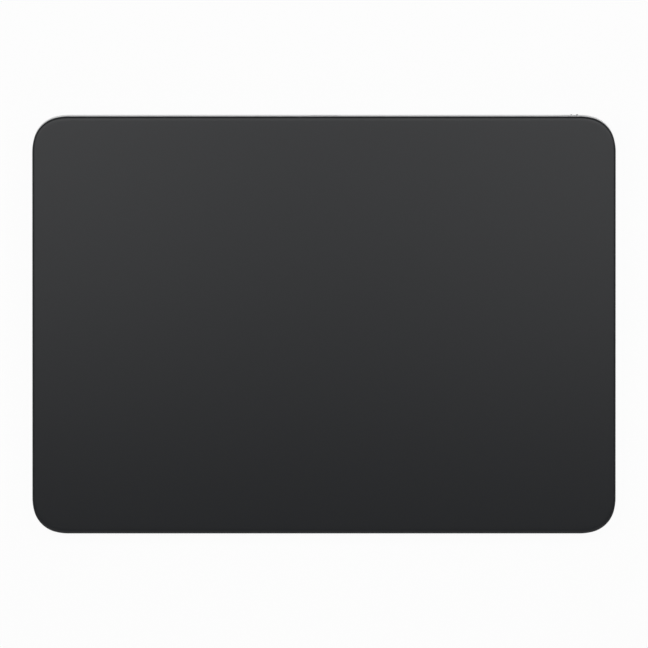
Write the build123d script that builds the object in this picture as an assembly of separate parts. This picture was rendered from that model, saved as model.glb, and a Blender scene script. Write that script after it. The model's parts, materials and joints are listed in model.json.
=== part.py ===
from build123d import *

import os
from math import cos, radians, sin, sqrt

# A slim desk trackpad. A sheet of black glass floats on four leaf springs over a wedge-shaped
# aluminium tray, which holds a battery, a circuit board, a push-pull magnet that shakes the glass,
# a charging socket and a slide switch in its rear wall. Four rubber feet carry it.
#
# Row frame: X along the long side, Y from the user to the rear, Z up from the desk.
# Deck frame: x as X, y up the slope from the front edge of the glass, and a "drop" is a depth
# under the top of the glass. Floor frame: as the row frame, from the front edge and the tray's floor.

# Outline of the glass and of the tray under it
pad_width = 160.0
deck_depth = 114.57
tilt = 3.0
corner_radius = 8.1
ease_radius = 14.0
ease_angle = 15.0

# Tray. The front seat height makes the front edge stand 4.9 mm and the rear edge 10.9 mm high.
wall_thickness = 1.6
floor_thickness = 0.9
front_seat_height = 0.834
base_edge_radius = 1.0
rim_edge = 0.15
mouth_edge = 0.12
boss_radius = 1.7

# Travel of the glass and the room that it needs
press_travel = 0.2
shake_travel = 0.15
rim_clearance = 0.12
side_clearance = 0.45
running_clearance = 0.2

# Glass, touch sensor and backing plate
glass_thickness = 0.9
glass_edge_radius = 0.5
glass_under_edge = 0.15
film_thickness = 0.1
sensor_thickness = 0.5
plate_thickness = 0.8

# Seal in the tray's rim
seal_width = 0.8
seal_depth = 0.9
seal_proud = 0.05

# Feet
foot_stand = 0.5
foot_radius = 4.5
foot_pocket = 0.4
foot_pocket_clearance = 0.05
foot_edge = 0.15
foot_side_inset = 14.0
foot_end_inset = 10.5

# Leaf springs and what they carry
spring_thickness = 0.3
spring_base_length = 7.0
spring_base_width = 14.0
beam_length = 16.0
beam_width = 6.0
spring_wall_gap = 1.4
front_spring_y = 19.0
spring_board_gap = 3.2
button_thickness = 0.4
button_radius = 2.5
button_inset = 3.0
gel_thickness = 0.3
gel_margin = 0.3
gauge_length = 3.2
gauge_width = 3.6
gauge_thickness = 0.12
spring_screw_spread = 9.0

# Screws
screw_radius = 0.6
screw_head_radius = 1.15
screw_head_height = 0.45
screw_reach = 1.0
thread_clearance = 0.03
screw_hole_clearance = 0.1
hole_end_room = 0.1
cross_length = 1.5
cross_width = 0.3
cross_depth = 0.22

# Magnet that shakes the glass
pole_width = 9.0
pole_pitch = 20.0
pole_length = 8.0
pole_thickness = 1.2
pole_count = 3
core_bar_depth = 5.0
winding_thickness = 0.5
winding_clearance = 0.05
winding_end_gap = 0.6
air_clearance = 0.2
pull_bar_front = 39.0
pull_bar_depth = 4.0
bracket_thickness = 0.3
bracket_front_inset = 2.0
bracket_ear = 6.0

# Circuit board
board_thickness = 0.8
board_depth = 13.0
board_wall_gap = 1.77
board_side_inset = 6.0
component_space = 2.7
board_screw_inset = 1.8
can_wall = 0.2
can_depth = 8.4
can_height = 1.6
radio_can_gap = 2.94
power_can_width = 14.0
touch_chip_size = 8.0
driver_chip_size = 5.0
memory_chip_size = 4.0
chip_height = 0.9
chip_edge = 0.15
chip_row_share = 0.4
radio_can_share = 0.1
touch_chip_share = 0.225
driver_chip_share = 0.45
power_can_share = 0.575
middle_screw_share = 0.68
flex_socket_share = 0.765
memory_chip_share = 0.88
socket_depth = 3.0
socket_height = 0.9
socket_margin = 1.0

# Charging socket
socket_shell_width = 8.94
socket_shell_height = 3.16
socket_shell_wall = 0.3
socket_shell_length = 7.3
socket_recess = 0.4
socket_hole_clearance = 0.1
socket_tab_width = 1.2
socket_tab_depth = 0.8
notch_clearance = 0.25
tongue_width = 6.7
tongue_thickness = 0.7
tongue_length = 4.5
tongue_base_length = 1.6
tongue_clearance = 0.03
contact_pitch = 0.5
contact_count = 12
contact_width = 0.26
contact_length = 3.0
contact_thickness = 0.06
contact_tip_gap = 0.4
strap_thickness = 0.3
strap_depth = 3.0
strap_gap = 0.25
strap_foot = 4.4

# Slide switch
switch_end_gap = 2.0
slot_length = 6.0
slot_height = 2.4
slot_clearance = 0.15
knob_length = 3.4
knob_recess = 0.3
rib_height = 0.65
rib_width = 0.45
rib_spread = 1.6
rib_margin = 0.35
slider_length = 4.4
slider_height = 2.8
slider_thickness = 1.0
slide_clearance = 0.05
housing_length = 9.0
housing_height = 4.0
housing_depth = 3.0
housing_gap = 0.6
label_thickness = 0.1
label_edge_gap = 0.15
terminal_width = 0.6
terminal_length = 1.4
terminal_thickness = 0.15
terminal_pitch = 2.5

# Battery
middle_gap = 1.0
cell_headroom = 0.55
cell_end_gap = 1.2
cell_edge_radius = 0.8
tape_thickness = 0.2
tape_width = 8.0
tape_inset = 6.0
guard_board_width = 5.0
guard_board_front_gap = 1.0
guard_board_rear_gap = 6.0
guard_board_thickness = 0.8
guard_chip_height = 0.8
guard_chip_width = 2.4
guard_chip_length = 3.0
guard_chip_count = 3
tab_width = 3.0
tab_thickness = 0.1
tab_lap = 0.8

# Ribbon cables
ribbon_thickness = 0.15
ribbon_bend = 0.7
ribbon_lift = 0.05
battery_ribbon_width = 3.0
magnet_ribbon_width = 2.0
gauge_ribbon_width = 1.2
ribbon_side_gap = 0.4
ribbon_end_gap = 0.3
ribbon_lap = 2.5
ribbon_run = 4.0
ramp_start_share = 0.25
ramp_end_share = 0.75
touch_ribbon_width = 10.0
touch_ribbon_run = 5.0
window_margin = 1.0

# Antenna
antenna_side_inset = 7.0
antenna_length = 26.0
antenna_depth = 9.0
antenna_height = 2.6
antenna_rear_gap = 2.5
antenna_post_inset = 4.0
antenna_board_gap = 1.5
trace_width = 1.6
trace_thickness = 0.1
trace_inset = 1.0
trace_lap = 1.0

overrun = 3.0

# Sizes worked out from those above
lean = radians(tilt)
rim_drop = glass_thickness + press_travel + rim_clearance
film_drop = glass_thickness + film_thickness
sensor_drop = film_drop + sensor_thickness
stack_drop = sensor_drop + plate_thickness
gel_drop = stack_drop + gel_thickness
button_drop = gel_drop + button_thickness
spring_drop = button_drop + spring_thickness
moving_drop = stack_drop + press_travel + running_clearance
stack_inset = wall_thickness + shake_travel + side_clearance

floor_level = foot_stand + floor_thickness
front_seat_y = front_spring_y - spring_base_width / 2
front_height = floor_level + (spring_drop + front_seat_height) * cos(lean) - front_seat_y * sin(lean)
rear_height = front_height + deck_depth * sin(lean)
rear_wall_drop = (rear_height - foot_stand) / cos(lean) - base_edge_radius
plan_depth = deck_depth * cos(lean) + rear_wall_drop * sin(lean)
front_edge = -plan_depth / 2

deck = Plane(origin=(0, front_edge, front_height), x_dir=(1, 0, 0), z_dir=(0, -sin(lean), cos(lean)))
tray_floor = Plane(origin=(0, front_edge, floor_level), x_dir=(1, 0, 0), z_dir=(0, 0, 1))

half_width = pad_width / 2
inner_half = half_width - wall_thickness
rear_inner_y = deck_depth - wall_thickness
board_top = moving_drop + component_space
board_bottom = board_top + board_thickness
socket_drop = board_top + board_thickness / 2


def floor_drop(y):
    """Depth of the tray's floor under the deck at y."""
    return (front_height + y * sin(lean) - floor_level) / cos(lean)


def on_floor(y, drop):
    """The deck point (y, drop) as (distance from the front edge, height over the tray's floor)."""
    along = y * cos(lean) + drop * sin(lean)
    height = front_height + y * sin(lean) - drop * cos(lean) - floor_level
    return (along, height)


deep_drop = floor_drop(deck_depth) + floor_thickness + overrun


def outline(inset):
    """Face of the pad's outline, drawn in by inset. Each corner is a tight arc between two easing arcs."""
    spread = ease_radius - corner_radius
    ease = radians(ease_angle)
    main = ease_radius - spread * cos(ease)
    start = ease_radius - spread * (cos(ease) - sin(ease))
    easing = ease_radius - inset
    tight = corner_radius - inset
    side = (inset, start)
    side_middle = (ease_radius - easing * cos(ease / 2), start - easing * sin(ease / 2))
    side_join = (ease_radius - easing * cos(ease), start - easing * sin(ease))
    middle = (main - tight / sqrt(2), main - tight / sqrt(2))
    arcs = [
        (side, side_middle, side_join),
        (side_join, middle, side_join[::-1]),
        (side_join[::-1], side_middle[::-1], side[::-1]),
    ]

    def place(point, hand, rear):
        from_side, from_end = point
        return (hand * (half_width - from_side), deck_depth - from_end if rear else from_end)

    edges = []
    for hand in (-1, 1):
        for rear in (False, True):
            for arc in arcs:
                edges.append(ThreePointArc(*[place(point, hand, rear) for point in arc]))
        edges.append(Line(place(side, hand, False), place(side, hand, True)))
    for rear in (False, True):
        edges.append(Line(place(side[::-1], -1, rear), place(side[::-1], 1, rear)))
    return make_face(edges)


def slab(inset, top, bottom):
    """The outline, drawn in by inset, between two drops of the deck."""
    return Pos(0, 0, -bottom) * extrude(outline(inset), bottom - top)


def block(x_range, y_range, z_range):
    """Box between two x, two y and two z values."""
    ranges = (x_range, y_range, z_range)
    middle = [(low + high) / 2 for low, high in ranges]
    return Pos(*middle) * Box(*[high - low for low, high in ranges])


def drops(top, bottom):
    """Two drops as a z range."""
    return (-bottom, -top)


def around(middle, size):
    """A range of one size about its middle."""
    return (middle - size / 2, middle + size / 2)


def post(x, y, radius, top, bottom):
    """Upright cylinder between two drops."""
    return Pos(x, y, -(top + bottom) / 2) * Cylinder(radius, bottom - top)


def group(pieces):
    """Several separate solids as one shape."""
    return Compound([solid for piece in pieces for solid in piece.solids()])


def below(level):
    """Everything under a level of the row frame, as a box."""
    size = 2 * pad_width
    return Pos(0, 0, level - size / 2) * Box(size, size, size)


def stadium_bar(x, drop, length, height, y_range):
    """Bar along y, with a section of two half rounds and straight flats."""
    y_low, y_high = y_range
    return extrude(stadium(x, y_high, drop, length, height), y_low - y_high)


def stadium(x, y, drop, length, height):
    """Upright face of two half rounds and straight flats, which looks to the rear."""
    place = Plane(origin=(x, y, -drop), x_dir=(1, 0, 0), z_dir=(0, 1, 0))
    return place * SlotOverall(length, height)


def opening(x, length, height):
    """What is cut out of the rear wall for an opening, with a flare that bevels its mouth."""
    bar = stadium_bar(x, socket_drop, length, height, (rear_inner_y - overrun, deck_depth + overrun))
    inner = stadium(x, deck_depth - mouth_edge, socket_drop, length, height)
    spread = 4 * mouth_edge
    outer = stadium(x, deck_depth + mouth_edge, socket_drop, length + spread, height + spread)
    return bar + loft([inner, outer], ruled=True)


def screw(x, y, seat, grip):
    """Pan-head screw with a cross recess. Its head stands on seat, and grip is what it clamps."""
    head = post(x, y, screw_head_radius, seat - screw_head_height, seat)
    shank = post(x, y, screw_radius, seat, seat + grip + screw_reach)
    recess_z = drops(seat - screw_head_height, seat - screw_head_height + cross_depth)
    for size_x, size_y in ((cross_length, cross_width), (cross_width, cross_length)):
        head -= block(around(x, size_x), around(y, size_y), recess_z)
    return head + shank


def screw_hole(x, y, top):
    """Threaded hole from a seat's top, a little deeper than the screw."""
    return post(x, y, screw_radius + thread_clearance, top, top + screw_reach + hole_end_room)


def clear_hole(x, y, top, bottom):
    """Hole that a screw passes through."""
    return post(x, y, screw_radius + screw_hole_clearance, top, bottom)


def ribbon(points, x, width, frame):
    """Flat cable whose middle line follows (y, height) points of a frame, with round bends."""
    path = FilletPolyline(*points, radius=ribbon_bend)
    side = Plane(origin=(x - width / 2, 0, 0), x_dir=(0, 1, 0), z_dir=(1, 0, 0))
    return frame * extrude(side * trace(path, ribbon_thickness), width)


# Places of the springs, one at each corner: the side that it stands on and its middle line
board_rear = rear_inner_y - board_wall_gap
board_front = board_rear - board_depth
rear_spring_y = board_front - spring_board_gap - spring_base_width / 2
spring_places = {
    "front_left": (-1, front_spring_y),
    "front_right": (1, front_spring_y),
    "rear_left": (-1, rear_spring_y),
    "rear_right": (1, rear_spring_y),
}
base_outer = inner_half - spring_wall_gap
base_inner = base_outer - spring_base_length
beam_tip = base_inner - beam_length
button_x = beam_tip + button_inset
base_screw_x = (base_outer + base_inner) / 2


def sided(hand, low, high):
    """An x range on the left or right side."""
    return (low, high) if hand > 0 else (-high, -low)


def spring_screw_places():
    """Middle of each screw that holds a spring."""
    places = []
    for hand, y in spring_places.values():
        for end in (-1, 1):
            places.append((hand * base_screw_x, y + end * spring_screw_spread / 2))
    return places


def leaf_spring(hand, y):
    """Flat T-shaped spring: a screwed base by the wall and a beam that reaches inwards."""
    z_range = drops(button_drop, spring_drop)
    spring = block(sided(hand, base_inner, base_outer), around(y, spring_base_width), z_range)
    spring += block(sided(hand, beam_tip, base_inner), around(y, beam_width), z_range)
    for x_hole, y_hole in spring_screw_places():
        spring -= clear_hole(x_hole, y_hole, button_drop, spring_drop)
    return spring


# Places of the shaking magnet
pull_bar_rear = pull_bar_front + pull_bar_depth
pole_front = pull_bar_rear + shake_travel + air_clearance
pole_rear = pole_front + pole_length
core_rear = pole_rear + core_bar_depth
core_half = (pole_pitch * (pole_count - 1) + pole_width) / 2
coil_top = moving_drop
pole_top = coil_top + winding_thickness
pole_bottom = pole_top + pole_thickness
coil_bottom = pole_bottom + winding_thickness
bracket_bottom = coil_bottom + bracket_thickness
bracket_front = pole_front + bracket_front_inset
bracket_half = core_half + bracket_ear
pole_places = [pole_pitch * (index - (pole_count - 1) / 2) for index in range(pole_count)]
ear_x = core_half + bracket_ear / 2
ear_ys = (bracket_front + boss_radius, core_rear - boss_radius)
magnet_screw_places = [(hand * ear_x, y) for hand in (-1, 1) for y in ear_ys]

# Places on the circuit board
antenna_left = -half_width + antenna_side_inset
antenna_right = antenna_left + antenna_length
board_left = antenna_right + antenna_board_gap
board_right = half_width - board_side_inset
board_length = board_right - board_left
chip_row = board_front + chip_row_share * board_depth
radio_can_room = (touch_chip_share - radio_can_share) * board_length - touch_chip_size / 2
radio_can_width = 2 * (radio_can_room - radio_can_gap)
shell_mouth = deck_depth - socket_recess
shell_back = shell_mouth - socket_shell_length
shell_half = socket_shell_width / 2
shell_top = socket_drop - socket_shell_height / 2
strap_front = shell_back + socket_tab_depth + strap_gap
strap_screw_x = shell_half + strap_thickness + strap_foot / 2
strap_screw_y = strap_front + strap_depth / 2
strap_screw_places = [(hand * strap_screw_x, strap_screw_y) for hand in (-1, 1)]
rear_screw_y = board_rear - board_screw_inset
board_screw_places = [
    (board_left + board_screw_inset, rear_screw_y),
    (board_left + middle_screw_share * board_length, rear_screw_y),
    (board_right - board_screw_inset, board_front + board_screw_inset),
]
touch_ribbon_x = board_left + flex_socket_share * board_length

# Places in the slide switch
slot_x = board_right - switch_end_gap - housing_length / 2
knob_travel = slot_length - knob_length - 2 * slot_clearance
knob_height = slot_height - 2 * slot_clearance
knob_x = slot_x + knob_travel / 2
housing_rear = rear_inner_y - housing_gap
housing_front = housing_rear - housing_depth
slider_room = label_thickness + 2 * slide_clearance + slider_thickness
channel_floor = housing_rear - slider_room
slider_front = channel_floor + label_thickness + slide_clearance
slider_rear = slider_front + slider_thickness
channel_length = slider_length + knob_travel + 2 * slide_clearance
channel_height = slider_height + 2 * slide_clearance

# Places of the battery, which lies flat on the tray's floor
gauge_ribbon_x = base_inner - ribbon_side_gap - gauge_ribbon_width / 2
cell_gap = guard_board_width + magnet_ribbon_width + 3 * middle_gap
cell_inner = cell_gap / 2
cell_outer = gauge_ribbon_x - gauge_ribbon_width / 2 - ribbon_side_gap
cell_front = on_floor(core_rear, bracket_bottom)[0] + cell_end_gap
cell_rear = on_floor(board_front, board_bottom)[0] - cell_end_gap
cell_bottom = tape_thickness
guard_x = middle_gap - cell_inner + guard_board_width / 2
guard_front = cell_front + guard_board_front_gap
guard_rear = cell_rear - guard_board_rear_gap
guard_top = tape_thickness + guard_board_thickness
guard_chip_pitch = (guard_rear - ribbon_lap - guard_front) / guard_chip_count
battery_socket_y = board_front + socket_depth
magnet_ribbon_x = cell_inner - middle_gap - magnet_ribbon_width / 2
cell_top = on_floor(core_rear, moving_drop)[1] - cell_headroom

# Places of the antenna
antenna_rear = rear_inner_y - antenna_rear_gap
antenna_front = antenna_rear - antenna_depth
antenna_top = moving_drop + trace_thickness
antenna_bottom = antenna_top + antenna_height
antenna_post_y = (antenna_front + antenna_rear) / 2
antenna_posts = (antenna_left + antenna_post_inset, antenna_right - antenna_post_inset)


def foot_places():
    """Name and middle of each foot in the row frame."""
    places = {}
    for side, hand in (("left", -1), ("right", 1)):
        for end, sign in (("front", -1), ("rear", 1)):
            x = hand * (half_width - foot_side_inset)
            places[f"{end}_{side}"] = (x, sign * (plan_depth / 2 - foot_end_inset))
    return places


def tray():
    """Wedge-shaped tray: side walls square to the glass, a level floor, and seats for what it holds."""
    body = slab(0, rim_drop, deep_drop)
    body = chamfer(body.edges().group_by(Axis.Z)[-1], rim_edge)
    body = deck * body - below(foot_stand)
    body = fillet(body.faces().sort_by(Axis.Z)[0].edges(), base_edge_radius)

    hollow = deck * slab(wall_thickness, rim_drop - overrun, deep_drop) - below(floor_level)
    rim_step = deck * slab(wall_thickness - seal_width, rim_drop - overrun, rim_drop + seal_depth)

    seats = []
    for hand, y in spring_places.values():
        x_range = sided(hand, base_inner, half_width - wall_thickness / 2)
        seats.append(block(x_range, around(y, spring_base_width), drops(spring_drop, deep_drop)))
    for x, y in magnet_screw_places:
        seats.append(post(x, y, boss_radius, bracket_bottom, deep_drop))
    for x, y in board_screw_places + strap_screw_places:
        seats.append(post(x, y, boss_radius, board_bottom, deep_drop))
    for x in antenna_posts:
        seats.append(post(x, antenna_post_y, boss_radius, antenna_bottom, deep_drop))
    seats = (deck * group(seats)) & body

    holes = [screw_hole(x, y, spring_drop) for x, y in spring_screw_places()]
    holes += [screw_hole(x, y, bracket_bottom) for x, y in magnet_screw_places]
    holes += [screw_hole(x, y, board_bottom) for x, y in board_screw_places + strap_screw_places]

    spare = 2 * socket_hole_clearance
    holes.append(opening(0, socket_shell_width + spare, socket_shell_height + spare))
    holes.append(opening(slot_x, slot_length, slot_height))

    made = body - hollow - rim_step + seats - deck * group(holes)
    for x, y in foot_places().values():
        pocket = Cylinder(foot_radius + foot_pocket_clearance, foot_pocket + overrun)
        made -= Pos(x, y, foot_stand + foot_pocket - (foot_pocket + overrun) / 2) * pocket
    return made


def rim_seal():
    """Rubber strip in the step of the rim, which shuts the gap under the glass."""
    top = rim_drop - seal_proud
    bottom = rim_drop + seal_depth
    ring = slab(wall_thickness - seal_width, top, bottom)
    return deck * (ring - slab(wall_thickness, top - overrun, bottom + overrun))


def foot(x, y):
    """Round rubber foot, seated in its pocket."""
    body = Cylinder(foot_radius, foot_stand + foot_pocket)
    body = fillet(body.edges().group_by(Axis.Z)[0], foot_edge)
    return Pos(x, y, (foot_stand + foot_pocket) / 2) * body


def glass_plate():
    """The touch surface, with a rounded upper edge."""
    plate = slab(0, 0, glass_thickness)
    plate = fillet(plate.edges().group_by(Axis.Z)[-1], glass_edge_radius)
    return deck * chamfer(plate.edges().group_by(Axis.Z)[0], glass_under_edge)


def antenna_window():
    """Gap in the backing plate over the antenna, between two z values that clear the plate."""
    x_range = (antenna_left - window_margin, antenna_right + window_margin)
    y_range = (antenna_front - window_margin, antenna_rear + window_margin)
    return block(x_range, y_range, drops(sensor_drop - overrun, stack_drop + overrun))


def touch_ribbon_points():
    """Middle line of the sensor's ribbon: along the sensor, round a half turn and back to its socket."""
    upper = -(sensor_drop + ribbon_thickness / 2 + ribbon_lift)
    lower = -(board_top - socket_height / 2)
    rear = chip_row + socket_depth / 2 + touch_ribbon_run
    front = chip_row - socket_depth / 2 - touch_ribbon_run / 2
    end = chip_row - socket_depth / 2 - ribbon_lift
    return [(rear, upper), (front, upper), (front, lower), (end, lower)]


def ribbon_window():
    """Gap in the backing plate that lets the sensor's ribbon through."""
    points = touch_ribbon_points()
    x_range = around(touch_ribbon_x, touch_ribbon_width + 2 * window_margin)
    y_range = (points[1][0] - window_margin, points[0][0] + window_margin)
    return block(x_range, y_range, drops(sensor_drop - overrun, stack_drop + overrun))


def backing_plate():
    """Stiff aluminium plate under the sensor, open over the antenna and the sensor's ribbon."""
    plate = slab(stack_inset, sensor_drop, stack_drop)
    return deck * (plate - antenna_window() - ribbon_window())


def touch_ribbon():
    """Ribbon from the touch sensor through the backing plate to its socket on the board."""
    return ribbon(touch_ribbon_points(), touch_ribbon_x, touch_ribbon_width, deck)


def pull_bar():
    """Steel bar bonded under the backing plate, which the magnet pulls."""
    x_range = (-core_half, core_half)
    return deck * block(x_range, (pull_bar_front, pull_bar_rear), drops(stack_drop, pole_bottom))


def magnet_core():
    """Iron core with its poles facing the pull bar, and a thicker bar behind that stands on the bracket."""
    core = block((-core_half, core_half), (pole_rear, core_rear), drops(pole_top, coil_bottom))
    for x in pole_places:
        core += block(around(x, pole_width), (pole_front, pole_rear), drops(pole_top, pole_bottom))
    return deck * core


def magnet_coil(x):
    """Copper winding round one pole."""
    y_range = (pole_front + winding_end_gap, pole_rear - winding_clearance)
    outside = block(around(x, pole_width + 2 * winding_thickness), y_range, drops(coil_top, coil_bottom))
    outside = fillet(outside.edges().filter_by(Axis.Y), winding_thickness)
    hole_z = drops(pole_top - winding_clearance, pole_bottom + winding_clearance)
    hole = block(around(x, pole_width + 2 * winding_clearance), around(pole_rear, 2 * core_half), hole_z)
    return deck * (outside - hole)


def magnet_bracket():
    """Steel sheet under the core, screwed to four bosses."""
    z_range = drops(coil_bottom, bracket_bottom)
    sheet = block((-bracket_half, bracket_half), (bracket_front, core_rear), z_range)
    for x, y in magnet_screw_places:
        sheet -= clear_hole(x, y, coil_bottom - overrun, bracket_bottom + overrun)
    return deck * sheet


def main_board():
    """Long circuit board along the rear wall, notched round the socket and the switch."""
    z_range = drops(board_top, board_bottom)
    board = block((board_left, board_right), (board_front, board_rear), z_range)
    cut_z = drops(board_top - overrun, board_bottom + overrun)
    notch_x = around(0, socket_shell_width + 2 * notch_clearance)
    board -= block(notch_x, (shell_back - notch_clearance, board_rear + overrun), cut_z)
    corner_x = (slot_x - housing_length / 2 - notch_clearance, board_right + overrun)
    board -= block(corner_x, (housing_front - notch_clearance, board_rear + overrun), cut_z)
    for x, y in board_screw_places + strap_screw_places:
        board -= clear_hole(x, y, board_top - overrun, board_bottom + overrun)
    return deck * board


def shield_can(share, width):
    """Thin-walled metal lid, open below, that stands on the board."""
    x = board_left + share * board_length
    can = block(around(x, width), around(chip_row, can_depth), drops(board_top - can_height, board_top))
    can = fillet(can.edges().filter_by(Axis.Z), 2 * can_wall)
    room_x = around(x, width - 2 * can_wall)
    room_y = around(chip_row, can_depth - 2 * can_wall)
    room = block(room_x, room_y, drops(board_top - can_height + can_wall, board_top + overrun))
    return deck * (can - room)


def chip(share, size):
    """Square moulded chip on the board."""
    x = board_left + share * board_length
    z_range = drops(board_top - chip_height, board_top)
    body = block(around(x, size), around(chip_row, size), z_range)
    return deck * chamfer(body.edges().group_by(Axis.Z)[-1], chip_edge)


def ribbon_socket(x, y, width):
    """Low plastic connector that a ribbon plugs into."""
    z_range = drops(board_top - socket_height, board_top)
    return deck * block(around(x, width + socket_margin), around(y, socket_depth), z_range)


def socket_shell():
    """Steel shell of the charging socket: a flat tube with a closed back and two side tabs."""
    shell_range = (shell_back, shell_mouth)
    shell = stadium_bar(0, socket_drop, socket_shell_width, socket_shell_height, shell_range)
    for hand in (-1, 1):
        x_range = sided(hand, shell_half - socket_shell_height / 2, shell_half + socket_tab_width)
        tab_y = (shell_back, shell_back + socket_tab_depth)
        shell += block(x_range, tab_y, drops(board_top - socket_shell_wall, board_top))
    inner_width = socket_shell_width - 2 * socket_shell_wall
    inner_height = socket_shell_height - 2 * socket_shell_wall
    inner_range = (shell_back + socket_shell_wall, shell_mouth + overrun)
    return deck * (shell - stadium_bar(0, socket_drop, inner_width, inner_height, inner_range))


tongue_base_rear = shell_back + socket_shell_wall + tongue_base_length
tongue_tip = tongue_base_rear + tongue_length


def socket_tongue():
    """Plastic tongue that carries the contacts, on a base that fills the back of the shell."""
    inset = 2 * (socket_shell_wall + tongue_clearance)
    base_range = (shell_back + socket_shell_wall, tongue_base_rear)
    width = socket_shell_width - inset
    base = stadium_bar(0, socket_drop, width, socket_shell_height - inset, base_range)
    tongue_z = around(-socket_drop, tongue_thickness)
    return deck * (base + block(around(0, tongue_width), (tongue_base_rear, tongue_tip), tongue_z))


def socket_contacts():
    """Two rows of gold contacts, over and under the tongue."""
    contacts = []
    y_range = (tongue_tip - contact_tip_gap - contact_length, tongue_tip - contact_tip_gap)
    lift = (tongue_thickness + contact_thickness) / 2
    for index in range(contact_count):
        x = contact_pitch * (index - (contact_count - 1) / 2)
        for z in (-socket_drop - lift, -socket_drop + lift):
            contacts.append(block(around(x, contact_width), y_range, around(z, contact_thickness)))
    return deck * group(contacts)


def socket_strap():
    """Hat-shaped steel strap over the shell, with a foot on the board at each side."""
    y_range = (strap_front, strap_front + strap_depth)
    arch_half = shell_half + strap_thickness
    arch_top = shell_top - strap_thickness
    strap = block((-arch_half, arch_half), y_range, drops(arch_top, shell_top))
    for hand in (-1, 1):
        strap += block(sided(hand, shell_half, arch_half), y_range, drops(arch_top, board_top))
        foot_x = sided(hand, shell_half, arch_half + strap_foot)
        strap += block(foot_x, y_range, drops(board_top - strap_thickness, board_top))
    for x, y in strap_screw_places:
        strap -= clear_hole(x, y, board_top - strap_thickness - overrun, board_top + overrun)
    return deck * strap


def switch_housing():
    """Plastic body of the slide switch, with a channel that faces the wall."""
    body_z = around(-socket_drop, housing_height)
    housing = block(around(slot_x, housing_length), (housing_front, housing_rear), body_z)
    channel_z = around(-socket_drop, channel_height)
    channel = block(around(slot_x, channel_length), (channel_floor, housing_rear + overrun), channel_z)
    return deck * (housing - channel)


def switch_label():
    """Coloured patch on the channel's floor, which the slider hides until the switch is moved."""
    right = slot_x + channel_length / 2 - label_edge_gap
    left = slot_x + channel_length / 2 - knob_travel + label_edge_gap
    z_range = around(-socket_drop, slot_height)
    return deck * block((left, right), (channel_floor, channel_floor + label_thickness), z_range)


def switch_slider():
    """Plate that runs in the housing's channel."""
    z_range = around(-socket_drop, slider_height)
    return deck * block(around(knob_x, slider_length), (slider_front, slider_rear), z_range)


def switch_knob():
    """Finger knob on the slider, with two upright grip ribs."""
    face = deck_depth - knob_recess
    knob = stadium_bar(knob_x, socket_drop, knob_length, knob_height, (slider_rear, face))
    for hand in (-1, 1):
        x_range = around(knob_x + hand * rib_spread / 2, rib_width)
        rib_z = around(-socket_drop, knob_height - 2 * rib_margin)
        knob += block(x_range, (face, face + rib_height), rib_z)
    return deck * knob


def switch_terminals():
    """Three tinned legs from the switch onto the board."""
    legs = []
    for index in (-1, 0, 1):
        x_range = around(slot_x + index * terminal_pitch, terminal_width)
        z_range = drops(board_top - terminal_thickness, board_top)
        legs.append(block(x_range, (housing_front - terminal_length, housing_front), z_range))
    return deck * group(legs)


def battery_cell(hand):
    """Flat pouch cell on one side of the middle gap."""
    cell = block(sided(hand, cell_inner, cell_outer), (cell_front, cell_rear), (cell_bottom, cell_top))
    return tray_floor * fillet(cell.edges().filter_by(Axis.Y), cell_edge_radius)


def battery_tapes():
    """Adhesive strips between the cells and the floor, two under each cell."""
    strips = []
    for hand in (-1, 1):
        for low in (cell_inner + tape_inset, cell_outer - tape_inset - tape_width):
            x_range = sided(hand, low, low + tape_width)
            strips.append(block(x_range, (cell_front, cell_rear), (0, tape_thickness)))
    return tray_floor * group(strips)


def battery_guard_board():
    """Small board between the cells that guards them, on its own strip of tape."""
    board = block(around(guard_x, guard_board_width), (guard_front, guard_rear), (0, guard_top))
    for index in range(guard_chip_count):
        y = guard_front + (index + 1 / 2) * guard_chip_pitch
        z_range = (guard_top, guard_top + guard_chip_height)
        board += block(around(guard_x, guard_chip_width), around(y, guard_chip_length), z_range)
    return tray_floor * board


def battery_tabs():
    """Thin metal tabs from the inner side of each cell onto the guard board, between its chips."""
    left, right = around(guard_x, guard_board_width)
    tabs = []
    for x_range in ((-cell_inner, left + tab_lap), (right - tab_lap, cell_inner)):
        for index in range(1, guard_chip_count):
            y = guard_front + index * guard_chip_pitch
            tabs.append(block(x_range, around(y, tab_width), (guard_top, guard_top + tab_thickness)))
    return tray_floor * group(tabs)


def battery_ribbon():
    """Ribbon from the guard board up a ramp to its socket on the main board."""
    low = guard_top + ribbon_lift + ribbon_thickness / 2
    end_y = battery_socket_y - socket_depth / 2 - ribbon_lift
    end = on_floor(end_y, board_top - socket_height / 2)
    span = end[0] - guard_rear
    ramp = [(guard_rear + ramp_start_share * span, low), (guard_rear + ramp_end_share * span, end[1])]
    return ribbon([(guard_rear - ribbon_lap, low), *ramp, end], guard_x, battery_ribbon_width, tray_floor)


def magnet_ribbon():
    """Ribbon from the magnet, along the floor between the cells, up to the main board's underside."""
    low = ribbon_lift + ribbon_thickness / 2
    start = on_floor(core_rear + ribbon_end_gap, bracket_bottom)
    end = on_floor(board_front + ribbon_run, board_bottom + ribbon_lift)
    points = [(start[0], low), (end[0], low), end]
    return ribbon(points, magnet_ribbon_x, magnet_ribbon_width, tray_floor)


def tail_end(y):
    """How far the tail of the strain gauge on the spring at y reaches past the spring's beam."""
    return y + beam_width / 2 + ribbon_end_gap


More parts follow.
